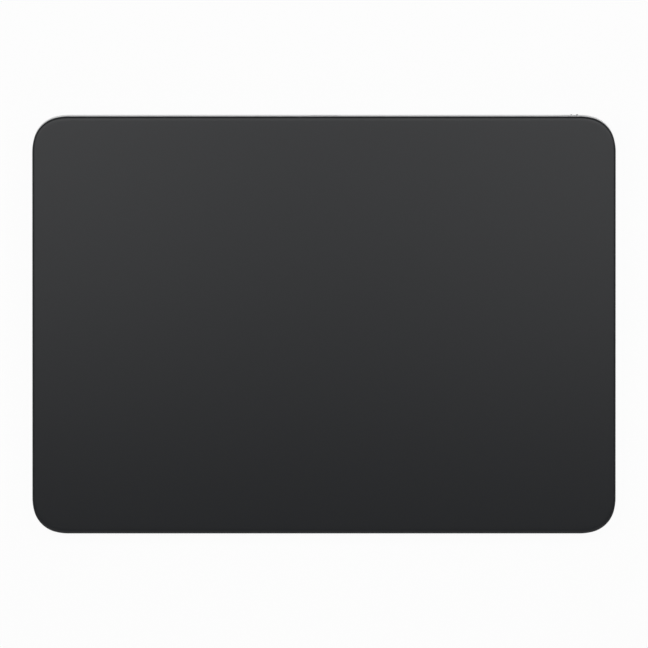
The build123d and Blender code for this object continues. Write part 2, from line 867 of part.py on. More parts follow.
def strain_gauge(hand, y):
    """Gauge at the root of a spring's beam, with a tail over the beam's edge that joins its side's ribbon.

    The ribbon's front end turns up to the front gauge, and the rear gauge has a leg down to the ribbon."""
    z_range = drops(button_drop - gauge_thickness, button_drop)
    gauge = block(sided(hand, base_inner - gauge_length, base_inner), around(y, gauge_width), z_range)
    tail_x = around(hand * gauge_ribbon_x, gauge_ribbon_width)
    end = tail_end(y)
    gauge += block(tail_x, (y, end + gauge_thickness), z_range)
    if y > front_spring_y:
        leg_bottom = floor_drop(end) - (ribbon_lift + ribbon_thickness) / cos(lean)
        gauge += block(tail_x, (end, end + gauge_thickness), drops(button_drop, leg_bottom))
    return gauge


def gauge_ribbon(hand):
    """Ribbon from one side's strain gauges to the board. The left one also runs across to its end."""
    low = ribbon_lift + ribbon_thickness / 2
    start = on_floor(tail_end(front_spring_y), button_drop + ribbon_lift)
    end = on_floor(board_front + gauge_ribbon_width, board_bottom + ribbon_lift)
    points = [start, (start[0], low), (end[0], low)]
    if hand > 0:
        return ribbon([*points, end], gauge_ribbon_x, gauge_ribbon_width, tray_floor)
    along = ribbon(points, -gauge_ribbon_x, gauge_ribbon_width, tray_floor)
    rise_x = board_left + 2 * board_screw_inset
    sideways = tray_floor * Rot(0, 0, -90)
    points = [(-gauge_ribbon_x, low), (rise_x, low), (rise_x, end[1])]
    return along + ribbon(points, -end[0], gauge_ribbon_width, sideways)


def antenna_carrier():
    """Plastic block on two posts that holds the antenna up under the glass."""
    z_range = drops(antenna_top, antenna_bottom)
    return deck * block((antenna_left, antenna_right), (antenna_front, antenna_rear), z_range)


def antenna_trace():
    """Bent copper strip on top of the carrier, whose foot comes down the carrier's side onto the board."""
    z_range = drops(moving_drop, antenna_top)
    left, right = antenna_left + trace_inset, antenna_right - trace_inset
    front, rear = antenna_front + trace_inset, antenna_rear - trace_inset
    strip = block((left, right), (rear - trace_width, rear), z_range)
    strip += block((right - trace_width, right), (front, rear), z_range)
    strip += block((left, left + trace_width), (rear - antenna_depth / 2, rear), z_range)

    foot_y = (front, front + trace_width)
    leg_x = (antenna_right, antenna_right + trace_thickness)
    strip += block((right - trace_width, leg_x[1]), foot_y, z_range)
    strip += block(leg_x, foot_y, drops(moving_drop, board_top))
    foot_x = (antenna_right, board_left + trace_lap)
    strip += block(foot_x, foot_y, drops(board_top - trace_thickness, board_top))
    return deck * strip


def parts():
    """Every separate piece, by name."""
    made = {"lower_case": tray(), "rim_seal": rim_seal()}
    for name, (x, y) in foot_places().items():
        made[f"foot_{name}"] = foot(x, y)

    made["glass_surface"] = glass_plate()
    made["bonding_film"] = deck * slab(stack_inset, glass_thickness, film_drop)
    made["touch_sensor"] = deck * slab(stack_inset, film_drop, sensor_drop)
    made["backing_plate"] = backing_plate()
    made["touch_ribbon"] = touch_ribbon()
    made["pull_bar"] = pull_bar()

    gels, buttons, gauges = [], [], []
    for name, (hand, y) in spring_places.items():
        made[f"leaf_spring_{name}"] = deck * leaf_spring(hand, y)
        gels.append(post(hand * button_x, y, button_radius - gel_margin, stack_drop, gel_drop))
        buttons.append(post(hand * button_x, y, button_radius, gel_drop, button_drop))
        gauges.append(strain_gauge(hand, y))
    made["gel_pads"] = deck * group(gels)
    made["spring_buttons"] = deck * group(buttons)
    made["strain_gauges"] = deck * group(gauges)
    screws = [screw(x, y, button_drop, spring_thickness) for x, y in spring_screw_places()]
    made["spring_screws"] = deck * group(screws)

    made["magnet_core"] = magnet_core()
    for side, x in zip(("left", "middle", "right"), pole_places):
        made[f"magnet_coil_{side}"] = magnet_coil(x)
    made["magnet_bracket"] = magnet_bracket()
    screws = [screw(x, y, coil_bottom, bracket_thickness) for x, y in magnet_screw_places]
    made["magnet_screws"] = deck * group(screws)

    made["main_board"] = main_board()
    made["radio_shield"] = shield_can(radio_can_share, radio_can_width)
    made["power_shield"] = shield_can(power_can_share, power_can_width)
    made["touch_controller_chip"] = chip(touch_chip_share, touch_chip_size)
    made["magnet_driver_chip"] = chip(driver_chip_share, driver_chip_size)
    made["memory_chip"] = chip(memory_chip_share, memory_chip_size)
    made["touch_ribbon_socket"] = ribbon_socket(touch_ribbon_x, chip_row, touch_ribbon_width)
    made["battery_ribbon_socket"] = ribbon_socket(guard_x, battery_socket_y, battery_ribbon_width)
    screws = [screw(x, y, board_top, board_thickness) for x, y in board_screw_places]
    made["board_screws"] = deck * group(screws)

    made["socket_shell"] = socket_shell()
    made["socket_tongue"] = socket_tongue()
    made["socket_contacts"] = socket_contacts()
    made["socket_strap"] = socket_strap()
    grip = strap_thickness + board_thickness
    screws = [screw(x, y, board_top - strap_thickness, grip) for x, y in strap_screw_places]
    made["strap_screws"] = deck * group(screws)

    made["switch_housing"] = switch_housing()
    made["switch_label"] = switch_label()
    made["switch_terminals"] = switch_terminals()
    made["switch_slider"] = switch_slider()
    made["switch_knob"] = switch_knob()

    made["battery_cell_left"] = battery_cell(-1)
    made["battery_cell_right"] = battery_cell(1)
    made["battery_tapes"] = battery_tapes()
    made["battery_guard_board"] = battery_guard_board()
    made["battery_tabs"] = battery_tabs()
    made["battery_ribbon"] = battery_ribbon()
    made["magnet_ribbon"] = magnet_ribbon()
    made["gauge_ribbon_left"] = gauge_ribbon(-1)
    made["gauge_ribbon_right"] = gauge_ribbon(1)
    made["antenna_carrier"] = antenna_carrier()
    made["antenna_trace"] = antenna_trace()
    return made


os.makedirs("parts", exist_ok=True)
for node, shape in parts().items():
    export_step(shape, f"parts/{node}.step")
print("front height", round(front_height, 3), "rear height", round(rear_height, 3))
print("plan depth", round(plan_depth, 3), "knob travel", round(knob_travel, 3))
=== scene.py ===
"""Looks of a black glass desk trackpad, laid out as an add-on and run as a script.

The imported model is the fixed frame. The pieces here are surfaces worked out in numpy: a profile carried
round an outline, in metres, in the frame's own axes. X runs along the long side, Y from the user to the
rear and Z up from the desk. The deck is the plane of the glass. A profile's inset is how far it is in from
the outline, and its cap is the inset of the flat faces that close it.
"""

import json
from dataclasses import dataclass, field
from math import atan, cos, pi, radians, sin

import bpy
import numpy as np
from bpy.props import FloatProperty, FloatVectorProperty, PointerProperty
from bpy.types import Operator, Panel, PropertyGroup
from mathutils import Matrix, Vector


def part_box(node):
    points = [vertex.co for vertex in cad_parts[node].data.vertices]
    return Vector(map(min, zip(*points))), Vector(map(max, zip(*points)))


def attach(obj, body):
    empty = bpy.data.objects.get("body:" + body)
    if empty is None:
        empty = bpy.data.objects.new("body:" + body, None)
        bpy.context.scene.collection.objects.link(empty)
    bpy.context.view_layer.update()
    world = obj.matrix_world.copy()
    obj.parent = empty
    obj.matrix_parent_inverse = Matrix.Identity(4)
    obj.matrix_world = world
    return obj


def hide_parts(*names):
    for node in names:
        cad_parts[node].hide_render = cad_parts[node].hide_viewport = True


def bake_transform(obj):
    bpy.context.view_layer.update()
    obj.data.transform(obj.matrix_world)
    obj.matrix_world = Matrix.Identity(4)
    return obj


bl_info = {
    "name": "Desk trackpad",
    "version": (1, 0, 0),
    "blender": (4, 5, 0),
    "location": "View3D > Sidebar > Trackpad",
    "description": "Dresses the frame of a black glass desk trackpad and sets its studio",
    "category": "Object",
}

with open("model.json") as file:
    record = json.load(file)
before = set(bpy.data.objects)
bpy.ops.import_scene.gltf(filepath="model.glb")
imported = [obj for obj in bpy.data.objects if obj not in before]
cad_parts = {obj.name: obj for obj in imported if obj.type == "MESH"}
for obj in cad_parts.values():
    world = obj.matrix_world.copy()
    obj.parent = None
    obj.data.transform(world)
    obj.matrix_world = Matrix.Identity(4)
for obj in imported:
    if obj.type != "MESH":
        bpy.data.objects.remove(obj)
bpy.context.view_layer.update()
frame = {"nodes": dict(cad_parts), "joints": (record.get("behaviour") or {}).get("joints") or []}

MM = 0.001
# The width of the picture, and of the pad in it, in pixels.
IMAGE_SIZE = 648
PAD_PIXELS = 583.4
# Points nearer than this are one point.
TOUCHING = 0.001 * MM

joints = {joint["name"]: joint for joint in frame["joints"]}
deck_normal = np.array(joints["surface_press"]["axis"])
deck_slope = np.array(joints["haptic_shift"]["axis"])
across = np.array((1.0, 0.0, 0.0))
rearwards = np.array((0.0, 1.0, 0.0))
tilt = atan(deck_slope[2] / deck_slope[1])


def length(label, description, millimetres):
    """A length property with its default in millimetres."""
    return FloatProperty(name=label, description=description, default=millimetres * MM, unit="LENGTH")


def colour(label, description, default):
    """A colour property, with channels between 0 and 1."""
    return FloatVectorProperty(
        name=label, description=description, default=default, subtype="COLOR", min=0, max=1
    )


class PadSizes(PropertyGroup):
    """Sizes of the pieces that are made here."""

    corner_radius: length("Corner radius", "Tightest radius of the outline's corners", 8.1)
    ease_radius: length("Easing radius", "Gentler radius at both ends of a corner", 14.0)
    ease_angle: FloatProperty(
        name="Easing angle", description="Turn of each easing arc", default=radians(15.0), subtype="ANGLE"
    )
    glass_roll: length("Glass roll", "Radius of the gentle roll towards the edge of the glass", 6.0)
    glass_edge: length("Glass edge", "Radius of the edge of the glass", 0.7)
    glass_under_edge: length("Glass under edge", "Bevel under the glass's rim", 0.15)
    seal_edge: length("Seal edge", "Radius of the seal's upper edges", 0.12)
    seal_width: length("Seal width", "Width of the rubber seal", 0.8)
    foot_edge: length("Foot edge", "Radius of a foot's lower edge", 0.25)
    shell_wall: length("Shell wall", "Thickness of the charging socket's shell", 0.3)
    shell_tab: length("Shell tab", "Depth of the tabs behind the shell", 0.8)
    knob_edge: length("Knob edge", "Radius of the knob's edges", 0.2)
    knob_rib: length("Knob rib", "Width of each grip rib", 0.45)
    wire: length("Coil wire", "Thickness of the coils' wire", 0.2)
    pouch_seam: length("Pouch seam", "Width of the seam round a battery cell", 0.8)


class PadColours(PropertyGroup):
    """Colour of each finish, under the finish's name in the record."""

    satin_aluminium: colour("Aluminium", "Anodised tray", (0.79, 0.795, 0.805))
    black_glass: colour("Glass", "Ink under the glass", (0.0032, 0.0045, 0.0068))
    seal_rubber: colour("Seal", "Rubber of the rim seal", (0.016, 0.016, 0.017))
    foot_rubber: colour("Feet", "Rubber of the feet", (0.03, 0.03, 0.032))
    adhesive: colour("Adhesive", "Tape and bonding film", (0.62, 0.6, 0.55))
    sensor_laminate: colour("Sensor", "Laminate of the touch sensor", (0.035, 0.055, 0.025))
    plate_aluminium: colour("Plate", "Rolled aluminium of the backing plate", (0.72, 0.72, 0.71))
    gel: colour("Gel", "Soft pads on the springs", (0.72, 0.78, 0.8))
    spring_steel: colour("Spring steel", "Springs, shields and brackets", (0.56, 0.55, 0.53))
    screw_steel: colour("Screws", "Plated screws and solder", (0.42, 0.42, 0.43))
    core_iron: colour("Core", "Stacked sheets of the magnet's core", (0.2, 0.195, 0.19))
    copper: colour("Copper", "Enamelled wire and antenna", (0.78, 0.34, 0.16))
    board_green: colour("Circuit board", "Lacquer of the boards", (0.012, 0.11, 0.045))
    chip_black: colour("Chips", "Moulded chip bodies", (0.02, 0.02, 0.021))
    black_plastic: colour("Black plastic", "Switch body and sockets", (0.022, 0.022, 0.023))
    white_plastic: colour("White plastic", "Antenna carrier and small capacitors", (0.72, 0.71, 0.68))
    green_label: colour("Label", "Patch that shows when the switch is on", (0.05, 0.55, 0.12))
    knob_plastic: colour("Knob", "Painted knob of the switch", (0.5, 0.505, 0.515))
    gold: colour("Gold", "Plated contacts", (0.95, 0.68, 0.28))
    amber_film: colour("Amber film", "Ribbons and strain gauges", (0.5, 0.2, 0.035))
    pouch_foil: colour("Pouch foil", "Skin of the battery cells", (0.66, 0.67, 0.68))


class StudioSettings(PropertyGroup):
    """Camera and lights."""

    lens: FloatProperty(name="Lens", description="Focal length of the camera", default=1600.0, unit="CAMERA")
    camera_y: length("Camera offset", "How far behind the middle of the pad the camera stands", 0.055)
    zenith: FloatProperty(name="Zenith", description="Brightness of the studio overhead", default=0.05)
    sides: FloatProperty(name="Side walls", description="Brightness of the studio's side walls", default=0.25)
    rear: FloatProperty(name="Rear wall", description="Brightness of the studio's rear wall", default=0.25)
    front: FloatProperty(name="Front wall", description="Brightness of the studio's front wall", default=0.75)
    softbox: FloatProperty(name="Softboxes", description="Brightness of the softboxes", default=1.27)


class Spot:
    """A place in the frame with two axes of its own, and a third square to both."""

    def __init__(self, origin, x_axis, y_axis):
        self.origin = np.array(origin, float)
        self.axes = np.stack([x_axis, y_axis, np.cross(x_axis, y_axis)]).astype(float)

    def points(self, x, y, z):
        """Points of the frame: the origin plus x, y and z along the three axes."""
        return self.origin + np.stack(np.broadcast_arrays(x, y, z), axis=-1) @ self.axes

    def at(self, x, y, z):
        """The same axes at another point."""
        return Spot(self.points(x, y, z), self.axes[0], self.axes[1])

    def corners(self, node):
        """Every corner of a node's mesh, as x, y and z along the three axes."""
        mesh = frame["nodes"][node].data
        corners = np.empty(3 * len(mesh.vertices), np.float32)
        mesh.vertices.foreach_get("co", corners)
        return (corners.reshape(-1, 3) - self.origin) @ self.axes.T

    def box(self, node):
        """A node's lowest and highest corners along the three axes."""
        corners = self.corners(node)
        return corners.min(axis=0), corners.max(axis=0)

    def over(self, node):
        """The same axes at the middle of a node's upper face, and the node's three sizes."""
        low, high = self.box(node)
        middle = (low + high) / 2
        return self.at(middle[0], middle[1], high[2]), high - low


# Axes level with the glass, level with the desk, and facing out of the rear wall.
deck = Spot((0.0, 0.0, 0.0), across, deck_slope)
desk = Spot((0.0, 0.0, 0.0), across, rearwards)
rear_wall = Spot((0.0, 0.0, 0.0), -across, deck_normal)


class Outline:
    """A rectangle about its middle with round corners, each of which may start and end in a gentler arc."""

    def __init__(self, width, depth, corner, ease=None, angle=0.0, steps=24):
        """Works out each point's arc: its middle, its radius and its normal.

        A corner turns its normal by 90 degrees, in the gentler arc up to the easing angle and past its
        complement, with a third of the steps in each gentler arc. The other three corners mirror the first.
        A side with no straight keeps one point of the two that meet there."""
        ease = ease or corner
        spread = ease - corner
        main = ease - spread * cos(angle)
        start = ease - spread * (cos(angle) - sin(angle))
        quarter = pi / 2
        turn = np.linspace(angle, quarter - angle, steps + 1)
        if angle:
            easing = np.linspace(0, angle, steps // 3, endpoint=False)
            turn = np.concatenate([easing, turn, quarter - easing[::-1]])
        first = turn < angle
        last = turn > quarter - angle
        radius = np.where(first | last, ease, corner)
        middle_x = width / 2 - np.where(first, ease, np.where(last, start, main))
        middle_y = depth / 2 - np.where(first, start, np.where(last, ease, main))
        self.x_parts = self.mirrored(np.stack([middle_x, radius, np.cos(turn)]), (1, 1, -1, -1))
        self.y_parts = self.mirrored(np.stack([middle_y, radius, np.sin(turn)]), (-1, 1, 1, -1))
        x, y = self.points(0.0)
        apart = np.hypot(x - np.roll(x, 1), y - np.roll(y, 1)) > TOUCHING
        self.x_parts = self.x_parts[:, apart]
        self.y_parts = self.y_parts[:, apart]

    def mirrored(self, parts, signs):
        """The four corners' parts in turn. Every other corner runs backwards, and the radius has no sign."""
        corners = []
        for index, sign in enumerate(signs):
            ordered = parts if index % 2 else parts[:, ::-1]
            corners.append(ordered * np.array([[sign], [1], [sign]]))
        return np.concatenate(corners, axis=1)

    def points(self, inset):
        """The outline drawn in by inset, anticlockwise: middle plus (radius less inset) times normal."""
        middle_x, radius, normal_x = self.x_parts
        middle_y, _, normal_y = self.y_parts
        return middle_x + (radius - inset) * normal_x, middle_y + (radius - inset) * normal_y


def carried(outline, profile, spot):
    """Rings of points: a profile of (inset, height) carried round an outline, at a spot."""
    inset, height = np.array(profile, float).T[:, :, None]
    x, y = outline.points(inset)
    return spot.points(x, y, height)


def arc(inset, height, radius, begin, end, steps=6):
    """Profile points round (inset, height), from one angle to another in degrees.

    Each point is at inset minus radius times the angle's cosine, and at height plus radius times its sine. An
    angle of 0 is outwards, where the inset is least, and 90 is up."""
    turn = np.linspace(radians(begin), radians(end), steps + 1)
    return list(zip(inset - radius * np.cos(turn), height + radius * np.sin(turn)))


def block(size, corner, edge, spot, steps=3):
    """Rings of a block with round corners and a smaller round along its upper edges.

    The profile is a flat top, a quarter turn of the edge's radius, a straight side and a flat underside. The
    spot is the middle of the top."""
    width, depth, height = size
    cap = (corner + edge) / 2
    profile = [(cap, 0.0), *arc(edge, -edge, edge, 90, 0, steps), (0.0, -height), (cap, -height)]
    return carried(Outline(width, depth, corner, steps=steps), profile, spot)


def make_piece(name, shells, joined=False):
    """A piece of one or more shells of rings, each an array of (ring, point, xyz).

    Each ring is joined to the next by quads. The first and last are closed flat, or joined to each other."""
    corners = []
    faces = []
    for shell in shells:
        rings, count = shell.shape[:2]
        start = sum(len(points) for points in corners)
        ring = np.arange(rings if joined else rings - 1)[:, None]
        here = np.arange(count)[None, :]
        following = (here + 1) % count
        this_ring = start + ring * count
        next_ring = start + ((ring + 1) % rings) * count
        quads = (this_ring + here, next_ring + here, next_ring + following, this_ring + following)
        faces += np.stack(quads, axis=-1).reshape(-1, 4).tolist()
        if not joined:
            faces.append(list(range(start, start + count)))
            faces.append(list(range(start + rings * count - 1, start + (rings - 1) * count - 1, -1)))
        corners.append(shell.reshape(-1, 3))
    mesh = bpy.data.meshes.new(name)
    mesh.from_pydata(np.concatenate(corners).tolist(), [], faces)
    return add_piece(name, mesh)


def add_piece(name, mesh, sharp=radians(35.0)):
    """An object of the mesh, shaded smooth but for edges that turn by more than the sharp angle."""
    mesh.update()
    mesh.shade_smooth()
    mesh.set_sharp_from_angle(angle=sharp)
    piece = bpy.data.objects.new(name, mesh)
    bpy.context.scene.collection.objects.link(piece)
    return piece


def dress(piece, slot, *nodes):
    """Gives a new piece its finish and the nodes that it stands for."""
    piece.data.materials.clear()
    piece.data.materials.append(finish(slot))
    if nodes:
        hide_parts(*nodes)


def paint(*nodes):
    """Gives nodes of the frame the finish of their slot in the record."""
    for node in nodes:
        for slot in frame["nodes"][node].material_slots:
            slot.material = finish(slot.material.name)


def named(start):
    """The nodes whose names start so."""
    return [name for name in frame["nodes"] if name.startswith(start)]


class Value:
    """The output of a node, which may change over a surface. An expression on it adds its Math nodes."""

    def __init__(self, nodes, socket):
        self.nodes = nodes
        self.socket = socket

    def maths(self, operation, *terms):
        """The output of a Math node for that operation on one or two terms."""
        return self.nodes.add("ShaderNodeMath", {"operation": operation}, dict(enumerate(terms)))

    def __add__(self, other):
        return self.maths("ADD", self, other)

    __radd__ = __add__

    def __sub__(self, other):
        return self.maths("SUBTRACT", self, other)

    def __rsub__(self, other):
        return self.maths("SUBTRACT", other, self)

    def __mul__(self, other):
        return self.maths("MULTIPLY", self, other)

    __rmul__ = __mul__

    def __pow__(self, other):
        return self.maths("POWER", self, other)

    def __gt__(self, other):
        return self.maths("GREATER_THAN", self, other)

    def waves(self, pitch):
        """A wave between -1 and 1 that repeats every pitch."""
        return self.maths("SINE", self * (2 * pi / pitch))

    def clamped(self):
        """The value itself where it is between 0 and 1, and elsewhere the nearer of the two."""
        return self.nodes.add("ShaderNodeClamp", {}, {"Value": self})


class Nodes:
    """The nodes of a material or of the world.

    A Mix node's sockets for numbers, vectors and colours share their names, so the colours' are counted."""

    mix_factor, mix_first, mix_second, mix_result = 0, 6, 7, 2

    def __init__(self, owner):
        owner.use_nodes = True
        self.tree = owner.node_tree
        self.tree.nodes.clear()

    def add(self, kind, settings, sockets, out=0):
        """Adds a node, makes its settings, then sets or links its sockets. Gives its output."""
        node = self.tree.nodes.new(kind)
        for name, setting in settings.items():
            setattr(node, name, setting)
        for name, value in sockets.items():
            if isinstance(value, Value):
                self.tree.links.new(value.socket, node.inputs[name])
            else:
                node.inputs[name].default_value = value
        return Value(self, node.outputs[out] if node.outputs else None)

    def place(self, stretch=(1.0, 1.0, 1.0), turn=(0.0, 0.0, 0.0)):
        """The point of the surface in the frame's metres, turned and stretched."""
        where = self.add("ShaderNodeTexCoord", {}, {}, "Object")
        return self.add("ShaderNodeMapping", {}, {"Vector": where, "Scale": stretch, "Rotation": turn})

    def along(self, axis, **mapping):
        """How far the point of the surface is along an axis, in metres."""
        return self.add("ShaderNodeSeparateXYZ", {}, {"Vector": self.place(**mapping)}, axis)

    def noise(self, grain, detail=2.0, **mapping):
        """Noise between about 0.2 and 0.8 whose blots are a grain across."""
        sockets = {"Vector": self.place(**mapping), "Scale": 1 / grain, "Detail": detail}
        return self.add("ShaderNodeTexNoise", {}, sockets)

    def cells(self, size):
        """A random number between 0 and 1 for each cell of a patchwork of squarish cells."""
        sockets = {"Vector": self.place(), "Scale": 1 / size}
        patch = self.add("ShaderNodeTexVoronoi", {"distance": "CHEBYCHEV"}, sockets, "Color")
        return self.add("ShaderNodeSeparateColor", {}, {"Color": patch})

    def mix(self, factor, first, second):
        """A colour between two."""
        sockets = {self.mix_factor: factor, self.mix_first: first, self.mix_second: second}
        return self.add("ShaderNodeMix", {"data_type": "RGBA"}, sockets, self.mix_result)


def board_tracks(nodes, pitch=0.55 * MM, level=0.2, cell=2.6 * MM, crossways_share=0.5):
    """Bundles of copper tracks under lacquer, lengthways in some cells and crossways in the others.

    A track is where a wave along Y, or along X in a crossways cell, is over the level."""
    lengthways = nodes.cells(cell) > crossways_share
    tracks = lengthways * (nodes.along("Y").waves(pitch) > level)
    return tracks + (1 - lengthways) * (nodes.along("X").waves(pitch) > level)


def sensor_diamonds(nodes, pitch=4.6 * MM, level=0.96):
    """Gaps between the diamond-shaped electrodes of the touch sensor.

    A gap is where a wave along x + y or along x - y is over the level."""
    x = nodes.along("X")
    y = nodes.along("Y")
    return (((x + y).waves(pitch) > level) + ((x - y).waves(pitch) > level)).clamped()


def ribbon_tracks(nodes, pitch=0.4 * MM, level=-0.3):
    """Copper tracks that run along a ribbon, where a wave along X is over the level."""
    return nodes.along("X").waves(pitch) > level


def core_sheets(nodes, pitch=0.2 * MM, level=0.85):
    """Joints between the core's stacked sheets, where a wave square to the deck is over the level."""
    return nodes.along("Z", turn=(-tilt, 0.0, 0.0)).waves(pitch) > level


@dataclass
class Finish:
    """How a surface looks, apart from its colour. Sizes are in metres.

    The grain is the size of the fine relief, and depth is its height. Cloud is the size of the blotches
    between the two shades, which multiply the colour. Spread is how much rougher the grain's tops are, and
    stretch is less than 1 along an axis that the grain is drawn out along. A pattern is a function that
    gives a mask. Where that is 1 the surface has the pattern's tone and stands up by relief times the
    grain's depth. The sockets are further ones of the shader."""

    roughness: float
    grain: float
    depth: float
    cloud: float = 5 * MM
    shades: tuple = (0.9, 1.06)
    spread: float = 0.1
    stretch: tuple = (1.0, 1.0, 1.0)
    pattern: object = None
    tone: tuple = (0.0, 0.0, 0.0)
    relief: float = 0.0
    sockets: dict = field(default_factory=dict)


metal = {"Metallic": 1.0}
# Rolled sheets have their grain drawn out along Y, and drawn ones along X.
rolled = (1.0, 0.05, 1.0)
drawn = (0.05, 1.0, 1.0)
lacquer = {"Coat Weight": 0.6, "Coat Roughness": 0.12}

# The numbers are roughness, grain, depth, cloud, the two shades and spread, as far as they are given.
finishes = {
    "satin_aluminium": Finish(0.34, 0.16 * MM, 0.004 * MM, 25 * MM, (0.96, 1.03), sockets=metal),
    "black_glass": Finish(0.355, 0.12 * MM, 0.0006 * MM, 30 * MM, (0.94, 1.06), 0.05, sockets={"IOR": 1.5}),
    "seal_rubber": Finish(0.7, 0.25 * MM, 0.012 * MM, 3 * MM, (0.85, 1.5)),
    "foot_rubber": Finish(0.68, 0.3 * MM, 0.015 * MM, 2.5 * MM, (0.8, 1.5), 0.15),
    "adhesive": Finish(0.5, 0.2 * MM, 0.01 * MM, 2 * MM, (0.85, 1.05), stretch=rolled),
    "sensor_laminate": Finish(
        0.38, 0.1 * MM, 0.002 * MM, 12 * MM, pattern=sensor_diamonds, tone=(0.09, 0.075, 0.03), relief=-3.0
    ),
    "plate_aluminium": Finish(
        0.36, 0.12 * MM, 0.003 * MM, 20 * MM, (0.9, 1.04), stretch=drawn, sockets=metal
    ),
    "gel": Finish(0.25, 0.6 * MM, 0.01 * MM, 1.5 * MM, sockets={"Transmission Weight": 0.5, "IOR": 1.42}),
    "spring_steel": Finish(0.3, 0.1 * MM, 0.002 * MM, 2.5 * MM, (0.82, 1.05), stretch=rolled, sockets=metal),
    "screw_steel": Finish(0.28, 0.15 * MM, 0.003 * MM, 0.8 * MM, (0.75, 1.1), sockets=metal),
    "core_iron": Finish(
        0.42, 0.2 * MM, 0.004 * MM, 1.2 * MM, (0.8, 1.15), pattern=core_sheets, tone=(0.05, 0.045, 0.04),
        relief=-6.0, sockets=metal
    ),
    "copper": Finish(0.3, 0.3 * MM, 0.003 * MM, 1.5 * MM, (0.85, 1.08), sockets={**metal, **lacquer}),
    "board_green": Finish(
        0.4, 0.15 * MM, 0.003 * MM, 6 * MM, pattern=board_tracks, tone=(0.025, 0.17, 0.06), relief=5.0,
        sockets=lacquer
    ),
    "chip_black": Finish(0.5, 0.08 * MM, 0.003 * MM, 1.5 * MM, (0.85, 1.2)),
    "black_plastic": Finish(0.46, 0.1 * MM, 0.004 * MM, 2 * MM, (0.85, 1.2)),
    "white_plastic": Finish(0.48, 0.12 * MM, 0.005 * MM, 3 * MM, (0.93, 1.03)),
    "green_label": Finish(0.42, 0.1 * MM, 0.002 * MM, 1 * MM, (0.9, 1.08)),
    "knob_plastic": Finish(0.34, 0.09 * MM, 0.003 * MM, 1.5 * MM, (0.92, 1.05), sockets={"Metallic": 0.8}),
    "gold": Finish(0.24, 0.2 * MM, 0.002 * MM, 0.7 * MM, (0.85, 1.05), sockets=metal),
    "amber_film": Finish(
        0.3, 0.3 * MM, 0.002 * MM, 3 * MM, pattern=ribbon_tracks, tone=(0.62, 0.3, 0.09), relief=8.0,
        sockets=lacquer
    ),
    "pouch_foil": Finish(0.3, 1.1 * MM, 0.03 * MM, 7 * MM, (0.92, 1.04), 0.08, sockets=metal),
}


def shaded(tone, shade):
    """A tone times a shade, as a socket's colour."""
    return (*(min(channel * shade, 1.0) for channel in tone), 1.0)


def finish(slot):
    """The material of a slot, made when it is first asked for."""
    name = f"{slot}_finish"
    if name in bpy.data.materials:
        return bpy.data.materials[name]
    look = finishes[slot]
    tone = getattr(bpy.context.scene.trackpad_colours, slot)
    material = bpy.data.materials.new(name)
    nodes = Nodes(material)
    grain = nodes.noise(look.grain, stretch=look.stretch)
    darker, lighter = look.shades
    base = nodes.mix(nodes.noise(look.cloud), shaded(tone, darker), shaded(tone, lighter))
    height = grain
    if look.pattern:
        mask = look.pattern(nodes)
        base = nodes.mix(mask, base, shaded(look.tone, 1.0))
        height = grain + look.relief * mask
    normal = nodes.add("ShaderNodeBump", {}, {"Height": height, "Distance": look.depth, "Strength": 1.0})
    rough = look.roughness + look.spread * grain
    sockets = {"Base Color": base, "Roughness": rough, "Normal": normal, **look.sockets}
    shader = nodes.add("ShaderNodeBsdfPrincipled", {}, sockets)
    nodes.add("ShaderNodeOutputMaterial", {}, {"Surface": shader})
    return material


def pad_outline(size, sizes, inset=0.0):
    """The pad's outline for a width and a depth that are already drawn in by inset all round."""
    return Outline(size[0], size[1], sizes.corner_radius - inset, sizes.ease_radius - inset, sizes.ease_angle)


class PieceOperator:
    """What the operators share: a place in the undo history."""

    bl_options = {"REGISTER", "UNDO"}


class TRACKPAD_OT_glass(PieceOperator, Operator):
    """Makes the black glass sheet with its rounded edge, and finishes what is bonded under it"""

    bl_idname = "trackpad.glass"
    bl_label = "Glass"
    cap = 6 * MM
    roll_degrees = 7.5
    roll_steps = 8
    edge_steps = 12

    def execute(self, context):
        """The pad's outline carries a flat top, the rolled rim, the side, a bevel and a flat underside."""
        sizes = context.scene.trackpad_sizes
        spot, size = deck.over("glass_surface")
        under, bottom = sizes.glass_under_edge, -size[2]
        profile = [(self.cap, 0.0), *self.rolled_rim(sizes.glass_roll, sizes.glass_edge)]
        profile += [(0.0, bottom + under), (under, bottom), (self.cap, bottom)]
        piece = make_piece("glass_sheet", [carried(pad_outline(size, sizes), profile, spot)])
        dress(piece, "black_glass", "glass_surface")
        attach(piece, "touch_surface")
        paint("bonding_film", "touch_sensor", "backing_plate", "pull_bar")
        return {"FINISHED"}

    def rolled_rim(self, roll, edge):
        """Profile points of a gentle roll that goes on as the edge's own tighter radius, down to the side.

        The two arcs meet in one slope, because the tight one's middle is on the gentle one's last radius."""
        joint = 90 - self.roll_degrees
        reach = (roll - edge) * cos(radians(joint))
        fall = (roll - edge) * sin(radians(joint))
        gentle = arc(edge + reach, -roll, roll, 90, joint, self.roll_steps)
        tight = arc(edge, fall - roll, edge, joint, 0, self.edge_steps)
        return [*gentle, *tight[1:]]


class TRACKPAD_OT_tray(PieceOperator, Operator):
    """Finishes the aluminium tray"""

    bl_idname = "trackpad.tray"
    bl_label = "Tray"

    def execute(self, context):
        paint("lower_case")
        return {"FINISHED"}


